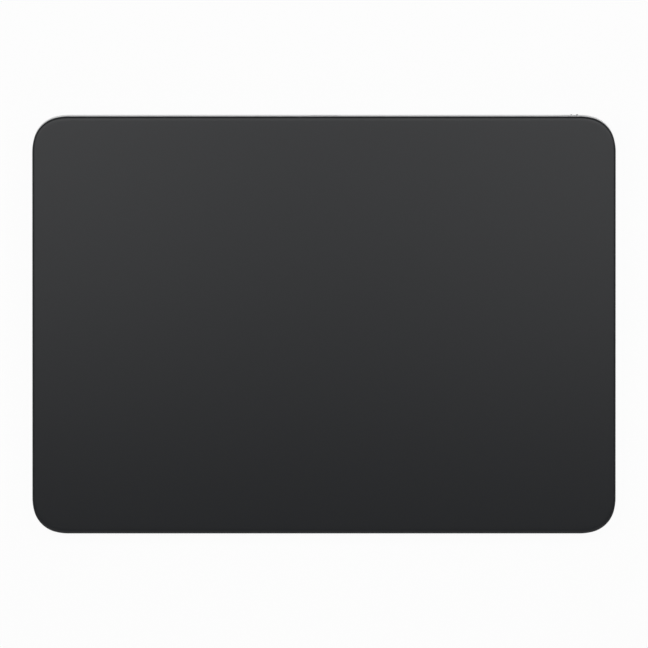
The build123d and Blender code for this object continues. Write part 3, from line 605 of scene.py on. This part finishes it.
class TRACKPAD_OT_seal(PieceOperator, Operator):
    """Makes the rubber seal in the tray's rim"""

    bl_idname = "trackpad.seal"
    bl_label = "Rim seal"

    def execute(self, context):
        """The pad's outline, drawn in to the seal's, carries a strip with two round upper edges."""
        sizes = context.scene.trackpad_sizes
        spot, size = deck.over("rim_seal")
        pad_width = deck.over("glass_surface")[1][0]
        edge, width, bottom = sizes.seal_edge, sizes.seal_width, -size[2]
        profile = [*arc(width - edge, -edge, edge, 180, 90), *arc(edge, -edge, edge, 90, 0)]
        profile += [(0.0, bottom), (width, bottom)]
        outline = pad_outline(size, sizes, (pad_width - size[0]) / 2)
        piece = make_piece("seal_strip", [carried(outline, profile, spot)], joined=True)
        dress(piece, "seal_rubber", "rim_seal")
        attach(piece, "case")
        return {"FINISHED"}


class TRACKPAD_OT_feet(PieceOperator, Operator):
    """Makes the four round rubber feet, with a moulded groove under each"""

    bl_idname = "trackpad.feet"
    bl_label = "Feet"
    rim = 1.2 * MM
    groove_width = 0.6 * MM
    groove_depth = 0.12 * MM
    round_steps = 20

    def execute(self, context):
        """A circle carries a foot's side, its round lower edge, and a groove with two sloping sides."""
        edge = context.scene.trackpad_sizes.foot_edge
        for node in named("foot_"):
            spot, size = desk.over(node)
            radius, bottom, groove = size[0] / 2, -size[2], self.groove_depth
            cap, inner_rim = radius / 2, self.rim + self.groove_width
            profile = [(cap, 0.0), (0.0, 0.0), *arc(edge, bottom + edge, edge, 0, -90)]
            profile += [(self.rim, bottom), (self.rim + groove, bottom + groove)]
            profile += [(inner_rim - groove, bottom + groove), (inner_rim, bottom), (cap, bottom)]
            circle = Outline(2 * radius, 2 * radius, radius, steps=self.round_steps)
            shell = carried(circle, profile, spot)
            piece = make_piece(f"rubber_{node}", [shell])
            dress(piece, "foot_rubber", node)
            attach(piece, "case")
        return {"FINISHED"}


class TRACKPAD_OT_socket(PieceOperator, Operator):
    """Makes the charging socket's shell with its rolled mouth, and finishes the tongue and contacts"""

    bl_idname = "trackpad.socket"
    bl_label = "Charging socket"
    tube_share = 0.788
    lip_steps = 8
    round_steps = 12

    def execute(self, context):
        """An outline with round ends carries the tube's inside, half a circle at its mouth, and its outside.

        A tab is a block at each side of the tube's closed end."""
        sizes = context.scene.trackpad_sizes
        wall = sizes.shell_wall
        spot, size = rear_wall.over("socket_shell")
        height, depth = size[1], size[2]
        width = self.tube_share * size[0]
        cap, lip = height / 3, wall / 2
        profile = [(cap, wall - depth), (wall, wall - depth), (wall, -wall)]
        profile += arc(lip, -lip, lip, 180, 0, self.lip_steps)
        profile += [(0.0, -wall), (0.0, -depth), (cap, -depth)]
        shells = [carried(Outline(width, height, height / 2, steps=self.round_steps), profile, spot)]
        tab_root, tab_corner, tab_edge = height / 4, wall / 3, wall / 6
        tab_size = ((size[0] - width) / 2 + tab_root, wall, sizes.shell_tab)
        for side in (-1, 1):
            tab_spot = spot.at(side * (size[0] - tab_size[0]) / 2, wall, sizes.shell_tab - depth)
            shells.append(block(tab_size, tab_corner, tab_edge, tab_spot))
        piece = make_piece("socket_tube", shells)
        dress(piece, "spring_steel", "socket_shell")
        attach(piece, "case")
        paint("socket_tongue", "socket_contacts", "socket_strap", "strap_screws")
        return {"FINISHED"}


class TRACKPAD_OT_switch(PieceOperator, Operator):
    """Makes the switch's knob with its two grip ribs, and finishes the rest of the switch"""

    bl_idname = "trackpad.switch"
    bl_label = "Slide switch"
    rib_spread_share = 0.47
    rib_length_share = 0.67
    rib_corner_share = 0.45
    rib_edge_share = 0.4
    rib_height = 0.65 * MM
    round_steps = 12

    def execute(self, context):
        """An outline with round ends carries a flat face, a quarter turn and the side. A rib is a block."""
        sizes = context.scene.trackpad_sizes
        spot, size = rear_wall.over("switch_knob")
        width, height, depth = size
        edge, rib = sizes.knob_edge, sizes.knob_rib
        cap, face = height / 3, -self.rib_height
        profile = [(cap, face), *arc(edge, face - edge, edge, 90, 0), (0.0, -depth), (cap, -depth)]
        shells = [carried(Outline(width, height, height / 2, steps=self.round_steps), profile, spot)]
        rib_size = (rib, self.rib_length_share * height, self.rib_height + edge)
        rib_corner, rib_edge = self.rib_corner_share * rib, self.rib_edge_share * rib
        for side in (-1, 1):
            rib_spot = spot.at(side * self.rib_spread_share * width / 2, 0.0, 0.0)
            shells.append(block(rib_size, rib_corner, rib_edge, rib_spot))
        piece = make_piece("knob", shells)
        dress(piece, "knob_plastic", "switch_knob")
        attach(piece, "power_switch")
        paint("switch_housing", "switch_label", "switch_slider", "switch_terminals")
        return {"FINISHED"}


class TRACKPAD_OT_springs(PieceOperator, Operator):
    """Makes the four leaf springs, and finishes what they carry"""

    bl_idname = "trackpad.springs"
    bl_label = "Leaf springs"
    base_share = 7 / 23
    button_share = 3 / 23

    def execute(self, context):
        """Each copy is the node's mesh with the corners that its triangles share merged into one."""
        for node in named("leaf_spring_"):
            low, high = deck.box(node)
            ends = sorted((low[0], high[0]), key=abs)
            reach = ends[1] - ends[0]
            y, z = (low[1] + high[1]) / 2, (low[2] + high[2]) / 2
            start = deck.points(ends[1] - self.base_share * reach, y, z)
            end = deck.points(ends[0] + self.button_share * reach, y, z)
            piece = self.bending_copy(node.replace("leaf_spring", "blade"), node)
            dress(piece, "spring_steel", node)
            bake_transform(piece)
        paint("spring_buttons", "gel_pads", "spring_screws", "strain_gauges")
        paint("gauge_ribbon_left", "gauge_ribbon_right")
        return {"FINISHED"}

    def bending_copy(self, name, node):
        """A copy of a node's loose triangles that share their corners, which are told apart by rounding."""
        source = frame["nodes"][node].data
        loops = np.empty(len(source.loops), np.int32)
        source.loops.foreach_get("vertex_index", loops)
        corners = desk.corners(node)
        whole = np.round(corners / TOUCHING).astype(np.int64)
        _, kept, shared = np.unique(whole, axis=0, return_index=True, return_inverse=True)
        mesh = bpy.data.meshes.new(name)
        mesh.from_pydata(corners[kept].tolist(), [], shared.reshape(-1)[loops].reshape(-1, 3).tolist())
        return add_piece(name, mesh)


class TRACKPAD_OT_ribbon(PieceOperator, Operator):
    """Makes the sensor's ribbon in two halves"""

    bl_idname = "trackpad.ribbon"
    bl_label = "Sensor ribbon"
    thickness = 0.15 * MM
    bend = 0.7 * MM
    socket_gap = 0.05 * MM
    steps = 8

    def execute(self, context):
        """Each half is a level end and a quarter bend. The two meet half way down the drop."""
        low, high = deck.box("touch_ribbon")
        bend_y = low[1] + self.thickness / 2 + self.bend
        lower = low[2] + self.thickness / 2 + self.bend
        upper = high[2] - self.thickness / 2 - self.bend
        middle = (lower + upper) / 2
        socket_end = deck.box("touch_ribbon_socket")[0][1] - self.socket_gap
        corner_to_drop = [(high[1], upper), *[(bend_y, upper)] * self.steps, (bend_y, middle)]
        drop_to_socket = [(bend_y, middle), *[(bend_y, lower)] * self.steps, (socket_end, lower)]
        halves = (
            ("upper_ribbon", corner_to_drop, 90, "touch_surface", upper),
            ("lower_ribbon", drop_to_socket, 180, "case", lower),
        )
        for name, places, turn, body, level in halves:
            piece = make_piece(name, [self.strip(places, turn, (low[0], high[0]))])
            dress(piece, "amber_film", "touch_ribbon")
            start = deck.points(low[0], bend_y, level)
            end = deck.points(low[0], bend_y, middle)
            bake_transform(piece)
        return {"FINISHED"}

    def strip(self, places, turn, x_range):
        """Rings of a flat strip round a quarter turn, from one angle in degrees to the next right angle.

        A ring's corners are its place plus the bend's radius, with half the thickness more or less, times
        (cos, sin) of its angle. An angle of 0 is rearwards and 90 is up."""
        quarter = np.linspace(turn, turn + 90, self.steps)
        angle = np.radians([turn, *quarter, turn + 90])[:, None]
        radius = self.bend + self.thickness / 2 * np.array([1, -1, -1, 1])
        y = np.array(places)[:, :1] + radius * np.cos(angle)
        z = np.array(places)[:, 1:] + radius * np.sin(angle)
        return deck.points(np.array(x_range)[[1, 1, 0, 0]], y, z)


class TRACKPAD_OT_magnet(PieceOperator, Operator):
    """Winds the three coils and finishes the magnet's core and bracket"""

    bl_idname = "trackpad.magnet"
    bl_label = "Magnet"
    corner_share = 0.22
    corner_steps = 8
    bore_share = 0.2
    wire_degrees = 75
    wire_steps = 5

    def execute(self, context):
        """A coil is its outline, with the corners rounded, that carries the wound profile."""
        wire = context.scene.trackpad_sizes.wire
        for node in named("magnet_coil_"):
            spot, size = rear_wall.over(node)
            outline = Outline(size[0], size[1], self.corner_share * size[1], steps=self.corner_steps)
            profile = self.wound_profile(size[2], self.bore_share * size[1], wire)
            piece = make_piece(f"wound_{node}", [carried(outline, profile, spot)], joined=True)
            dress(piece, "copper", node)
            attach(piece, "case")
        paint("magnet_core", "magnet_bracket", "magnet_screws", "magnet_ribbon")
        return {"FINISHED"}

    def wound_profile(self, depth, thickness, wire):
        """Most of half a round for each turn of wire down the outside, then straight up the bore."""
        turns = round(depth / wire)
        radius = depth / turns / 2
        reach = self.wire_degrees
        profile = [(thickness, 0.0)]
        for turn in range(turns):
            profile += arc(radius, -(2 * turn + 1) * radius, radius, reach, -reach, self.wire_steps)
        return [*profile, (thickness, -depth)]


class TRACKPAD_OT_board(PieceOperator, Operator):
    """Scatters small capacitors over the circuit board where nothing else stands, and finishes the rest"""

    bl_idname = "trackpad.board"
    bl_label = "Circuit board"
    mounted = ("radio_shield", "power_shield", "touch_controller_chip", "magnet_driver_chip", "memory_chip",
               "touch_ribbon_socket", "battery_ribbon_socket")
    in_the_way = ("socket_strap", "switch_terminals", "socket_shell", "switch_housing", "antenna_trace",
                  "touch_ribbon", "battery_ribbon")
    body_size = (0.6 * MM, 0.5 * MM, 0.4 * MM)
    body_corner = 0.06 * MM
    body_edge = 0.03 * MM
    end_size = (0.25 * MM, 0.52 * MM, 0.42 * MM)
    end_corner = 0.08 * MM
    end_edge = 0.05 * MM
    pitch = (2.3 * MM, 1.5 * MM)
    margin = 0.9 * MM
    kept_share = 0.55
    seed = 7

    def execute(self, context):
        """A capacitor is a block for its body and a slightly higher one at each end, along X."""
        level = deck.box("main_board")[1][2]
        aside = (self.body_size[0] + self.end_size[0]) / 2
        bodies = []
        ends = []
        for x, y in self.free_places():
            body_spot = deck.at(x, y, level + self.body_size[2])
            bodies.append(block(self.body_size, self.body_corner, self.body_edge, body_spot))
            for end_x in (x - aside, x + aside):
                end_spot = deck.at(end_x, y, level + self.end_size[2])
                ends.append(block(self.end_size, self.end_corner, self.end_edge, end_spot))
        kinds = (("capacitors", bodies, "white_plastic"), ("solder_caps", ends, "screw_steel"))
        for name, shells, slot in kinds:
            piece = make_piece(name, shells)
            dress(piece, slot)
            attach(piece, "case")
        paint("main_board", "board_screws", *self.mounted)
        return {"FINISHED"}

    def free_places(self):
        """Places on a grid over the board, of which a share is kept at random.

        Each is clear, by the margin, of the boxes of what is mounted there or in the way, and of every corner
        of the screws' meshes."""
        low, high = deck.box("main_board")
        x = np.arange(low[0] + self.margin, high[0] - self.margin, self.pitch[0])
        y = np.arange(low[1] + self.margin, high[1] - self.margin, self.pitch[1])
        places = np.stack(np.meshgrid(x, y), axis=-1).reshape(-1, 2)
        free = np.random.default_rng(self.seed).random(len(places)) < self.kept_share
        for node in (*self.mounted, *self.in_the_way):
            low, high = deck.box(node)
            inside = (places > low[:2] - self.margin) & (places < high[:2] + self.margin)
            free &= ~inside.all(axis=1)
        for node in ("board_screws", "strap_screws"):
            apart = np.linalg.norm(places[:, None] - deck.corners(node)[None, :, :2], axis=2).min(axis=1)
            free &= apart > self.margin
        return places[free]


class TRACKPAD_OT_battery(PieceOperator, Operator):
    """Makes the two pouch cells with their crimped seams, and finishes what joins them"""

    bl_idname = "trackpad.battery"
    bl_label = "Battery"
    corner = 3.4 * MM
    corner_steps = 8
    seam_thickness = 0.22 * MM
    shoulder = 0.9 * MM
    shoulder_degrees = (80, 10)
    under_shoulder = 0.6 * MM
    under_degrees = (-10, -90)
    crown = 0.12 * MM
    flat = 3.2 * MM

    def execute(self, context):
        """A cell is its outline, with the corners rounded, that carries the pouch's profile."""
        seam = context.scene.trackpad_sizes.pouch_seam
        tab_spot, tab_size = desk.over("battery_tabs")
        tab_height = tab_spot.origin[2] - tab_size[2] / 2
        for node in named("battery_cell_"):
            spot, size = desk.over(node)
            profile = self.pouch_profile(size[2], seam, tab_height - spot.origin[2])
            outline = Outline(size[0], size[1], self.corner, steps=self.corner_steps)
            piece = make_piece(node.replace("battery_cell", "pouch"), [carried(outline, profile, spot)])
            dress(piece, "pouch_foil", node)
            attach(piece, "case")
        paint("battery_tapes", "battery_guard_board", "battery_tabs", "battery_ribbon")
        return {"FINISHED"}

    def pouch_profile(self, height, seam, level):
        """A crowned top, a round shoulder down to the seam, and a smaller one under it.

        Past the flat part the top falls by a third of the crown in the first third of the way to the side,
        and by the rest up to the shoulder. The seam is at the tabs' level, measured from the top."""
        half_seam, shoulder, under = self.seam_thickness / 2, self.shoulder, self.under_shoulder
        top = [(self.flat, 0.0), (2 * self.flat / 3, -self.crown / 3)]
        top += arc(seam + shoulder, -self.crown - shoulder, shoulder, *self.shoulder_degrees)
        top += [(seam, level + half_seam), (0.0, level + half_seam)]
        bottom = [(0.0, level - half_seam), (seam, level - half_seam)]
        bottom += arc(seam + under, under - height, under, *self.under_degrees)
        return [*top, *bottom, (self.flat, -height)]


class TRACKPAD_OT_antenna(PieceOperator, Operator):
    """Finishes the antenna and its carrier"""

    bl_idname = "trackpad.antenna"
    bl_label = "Antenna"

    def execute(self, context):
        paint("antenna_carrier", "antenna_trace")
        return {"FINISHED"}


class TRACKPAD_OT_studio(PieceOperator, Operator):
    """Sets the floor, the lights and the camera"""

    bl_idname = "trackpad.studio"
    bl_label = "Studio"
    sensor = 36.0
    floor_half = 3.0
    floor_height = -0.02 * MM
    softbox_height = 0.3
    softbox_step = 0.005
    # Each has its reach along X and along Y, in metres, and its share of the softboxes' brightness.
    softboxes = {
        "wide_softbox": ((-0.52, 0.52), (-0.05, 0.19), 0.4),
        "left_softbox": ((-0.2, -0.025), (-0.05, 0.19), 0.7),
        "right_softbox": ((0.025, 0.2), (-0.05, 0.19), 0.7),
        "rear_softbox": ((-0.4, 0.4), (0.08, 0.19), 1.0),
        "front_softbox": ((-0.4, 0.4), (-0.5, -0.2), 0.6),
    }
    camera_share = 0.95
    mirror_share = 0.35
    white = (1.0, 1.0, 1.0, 1.0)
    pale = (0.85, 0.85, 0.85, 1.0)

    def execute(self, context):
        settings = context.scene.trackpad_studio
        self.add_floor()
        self.add_world(context.scene, settings)
        self.add_camera(context.scene, settings)
        for index, (name, (x_range, y_range, share)) in enumerate(self.softboxes.items()):
            height = self.softbox_height + index * self.softbox_step
            self.add_softbox(name, x_range, y_range, height, share * settings.softbox)
        context.scene.view_settings.view_transform = "Standard"
        return {"FINISHED"}

    def seen(self, nodes, kind):
        """1 for rays of that kind, else 0."""
        return nodes.add("ShaderNodeLightPath", {}, {}, f"Is {kind} Ray")

    def add_floor(self):
        """A pale floor, mostly white to the camera and partly in reflections, with its shadow left in."""
        half, height = self.floor_half, self.floor_height
        mesh = bpy.data.meshes.new("floor")
        corners = [(-half, -half, height), (half, -half, height), (half, half, height), (-half, half, height)]
        mesh.from_pydata(corners, [], [(0, 1, 2, 3)])
        floor = bpy.data.objects.new("floor", mesh)
        bpy.context.scene.collection.objects.link(floor)
        material = bpy.data.materials.new("white_floor")
        nodes = Nodes(material)
        lit = nodes.add("ShaderNodeBsdfDiffuse", {}, {"Color": self.pale})
        white = nodes.add("ShaderNodeEmission", {}, {"Color": self.white, "Strength": 1.0})
        mirrored = self.seen(nodes, "Glossy") + self.seen(nodes, "Transmission")
        share = self.camera_share * self.seen(nodes, "Camera") + self.mirror_share * mirrored
        mixed = nodes.add("ShaderNodeMixShader", {}, {0: share, 1: lit, 2: white})
        nodes.add("ShaderNodeOutputMaterial", {}, {"Surface": mixed})
        mesh.materials.append(material)

    def add_world(self, scene, settings):
        """A studio that is dimmer overhead than at its walls, and plain white to the camera."""
        scene.world = bpy.data.worlds.new("studio")
        nodes = Nodes(scene.world)
        way = nodes.add("ShaderNodeTexCoord", {}, {}, "Generated")
        height = nodes.add("ShaderNodeSeparateXYZ", {}, {"Vector": way}, "Z").clamped()
        rearward = nodes.add("ShaderNodeSeparateXYZ", {}, {"Vector": way}, "Y")
        to_front = (-1 * rearward).clamped() ** 2
        to_rear = rearward.clamped() ** 2
        sides = settings.sides
        wall = sides + (settings.front - sides) * to_front + (settings.rear - sides) * to_rear
        brightness = wall + (settings.zenith - wall) * height
        camera = self.seen(nodes, "Camera")
        strength = camera + (1 - camera) * brightness
        background = nodes.add("ShaderNodeBackground", {}, {"Color": self.white, "Strength": strength})
        nodes.add("ShaderNodeOutputWorld", {}, {"Surface": background})

    def add_camera(self, scene, settings):
        """A long lens that looks straight down, from where the pad is as wide as in the photograph."""
        low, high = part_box("glass_surface")
        width = (high[0] - low[0]) * IMAGE_SIZE / PAD_PIXELS
        camera = bpy.data.cameras.new("camera")
        camera.lens = settings.lens
        camera.sensor_width = self.sensor
        distance = width * settings.lens / self.sensor
        camera.clip_end = 2 * distance
        holder = bpy.data.objects.new("camera", camera)
        holder.location = (0.0, settings.camera_y, (low[2] + high[2]) / 2 + distance)
        scene.collection.objects.link(holder)
        scene.camera = holder

    def add_softbox(self, name, x_range, y_range, height, brightness):
        """A lamp that shines straight down from a rectangle. Its power is pi times its area and brightness.

        Lamps that overlap have different heights, or a reflection shows only one of them."""
        lamp = bpy.data.lights.new(name, "AREA")
        lamp.shape = "RECTANGLE"
        lamp.size = x_range[1] - x_range[0]
        lamp.size_y = y_range[1] - y_range[0]
        lamp.energy = brightness * pi * lamp.size * lamp.size_y
        holder = bpy.data.objects.new(name, lamp)
        holder.location = (sum(x_range) / 2, sum(y_range) / 2, height)
        holder.visible_camera = False
        bpy.context.scene.collection.objects.link(holder)


class TRACKPAD_PT_panel(Panel):
    """Lists the sizes, the colours and the pieces"""

    bl_idname = "TRACKPAD_PT_panel"
    bl_label = "Trackpad"
    bl_space_type = "VIEW_3D"
    bl_region_type = "UI"
    bl_category = "Trackpad"

    def draw(self, context):
        for group, kind in groups.items():
            for name in kind.__annotations__:
                self.layout.prop(getattr(context.scene, group), name)
        for operator in operators:
            self.layout.operator(operator.bl_idname)


groups = {"trackpad_sizes": PadSizes, "trackpad_colours": PadColours, "trackpad_studio": StudioSettings}
operators = (
    TRACKPAD_OT_glass,
    TRACKPAD_OT_tray,
    TRACKPAD_OT_seal,
    TRACKPAD_OT_feet,
    TRACKPAD_OT_socket,
    TRACKPAD_OT_switch,
    TRACKPAD_OT_springs,
    TRACKPAD_OT_ribbon,
    TRACKPAD_OT_magnet,
    TRACKPAD_OT_board,
    TRACKPAD_OT_battery,
    TRACKPAD_OT_antenna,
    TRACKPAD_OT_studio,
)
classes = (*groups.values(), *operators, TRACKPAD_PT_panel)


def register():
    """Registers every class and gives each scene the three groups of settings."""
    for kind in classes:
        bpy.utils.register_class(kind)
    for name, group in groups.items():
        setattr(bpy.types.Scene, name, PointerProperty(type=group))


def unregister():
    """Takes the groups and the classes away again."""
    for name in groups:
        delattr(bpy.types.Scene, name)
    for kind in reversed(classes):
        bpy.utils.unregister_class(kind)


def main():
    """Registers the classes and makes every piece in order."""
    register()
    for operator in operators:
        getattr(bpy.ops.trackpad, operator.bl_idname.split(".")[1])()
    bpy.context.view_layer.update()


if __name__ == "__main__":
    main()
